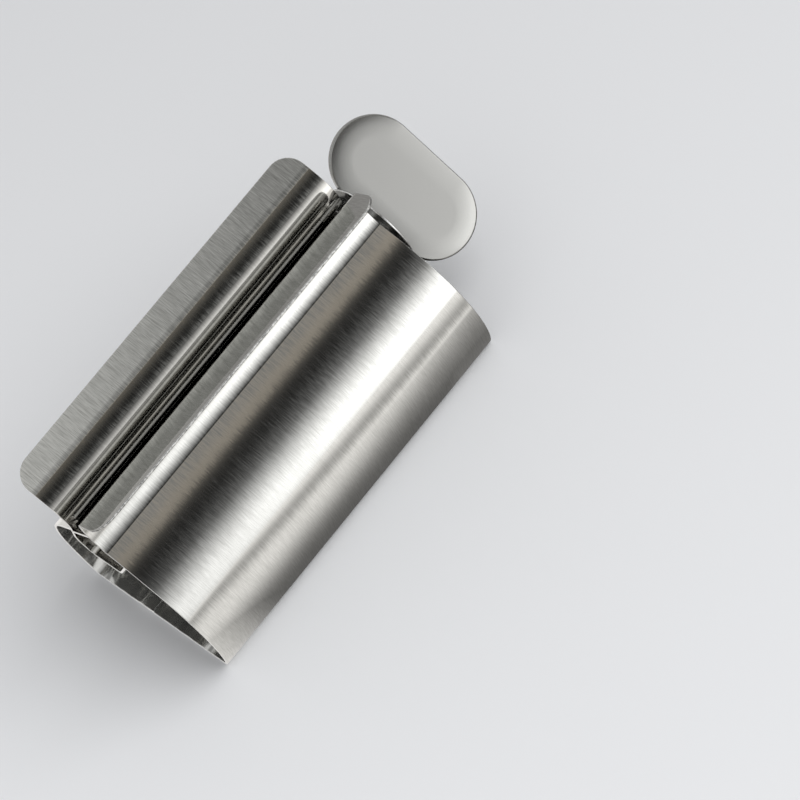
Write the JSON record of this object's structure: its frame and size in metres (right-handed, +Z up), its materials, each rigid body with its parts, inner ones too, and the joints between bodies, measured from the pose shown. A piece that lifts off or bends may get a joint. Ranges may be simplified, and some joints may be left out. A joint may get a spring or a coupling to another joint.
{
  "type": "toothpaste tube squeezer",
  "caption": "Stainless sheet tube roller: a flat-based tube with a flared slot and a slotted key, turned by a thumb plate to wind up and empty a toothpaste tube.",
  "frame": {"origin": "middle of the flat base, on the surface that the squeezer stands on", "axes": "+X along the roller toward the thumb plate, +Z up through the slot, +Y toward the wide wing"},
  "size_m": [0.0867, 0.0368, 0.0416],
  "materials": {
    "front_shell": "brushed around the tube",
    "back_shell": "brushed around the tube",
    "guide_plate": "brushed across the wing",
    "key_rod": "plain turned",
    "key_disc": "plain with a bright rim",
    "key_plate": "matte blasted"
  },
  "bodies": {
    "body": {"front_shell": "front_shell", "back_shell": "back_shell", "guide_plate": "guide_plate"},
    "key": {"key_rod": "key_rod", "key_disc": "key_disc", "key_plate": "key_plate"}
  },
  "joints": [
    {"name": "key_spin", "type": "hinge", "parent": "body", "child": "key", "pos_m": [0, 0.0013, 0.02294], "axis": [1, 0, 0], "continuous": true}
  ]
}
